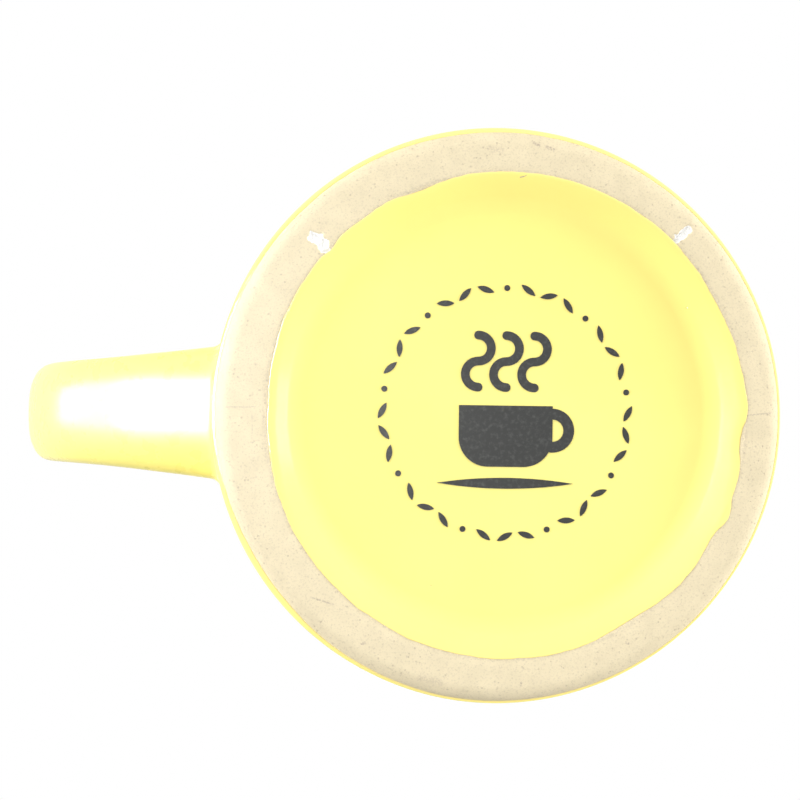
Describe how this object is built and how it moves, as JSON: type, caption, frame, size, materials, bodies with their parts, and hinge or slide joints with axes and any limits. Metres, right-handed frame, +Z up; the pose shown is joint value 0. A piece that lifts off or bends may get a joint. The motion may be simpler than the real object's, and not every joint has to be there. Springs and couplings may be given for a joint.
{
  "type": "ceramic mug",
  "caption": "Straight-sided glazed stoneware mug with a strap handle, an unglazed foot ring and a recessed glazed base.",
  "frame": {"origin": "middle of the foot ring's flat face, on the cup's axis, on the table", "axes": "+Z up the cup's axis, +X towards the handle"},
  "size_m": [0.1226, 0.09, 0.105],
  "materials": {
    "stoneware": "matte",
    "slip": "matte",
    "yellow_glaze": "gloss",
    "stamp_print": "satin"
  },
  "bodies": {
    "root": {"cup_body": "stoneware", "handle": "stoneware", "upper_slip_joint": "slip", "lower_slip_joint": "slip", "outer_glaze": "yellow_glaze", "liner_glaze": "yellow_glaze", "base_glaze": "yellow_glaze", "handle_glaze": "yellow_glaze", "backstamp": "stamp_print"}
  },
  "joints": []
}
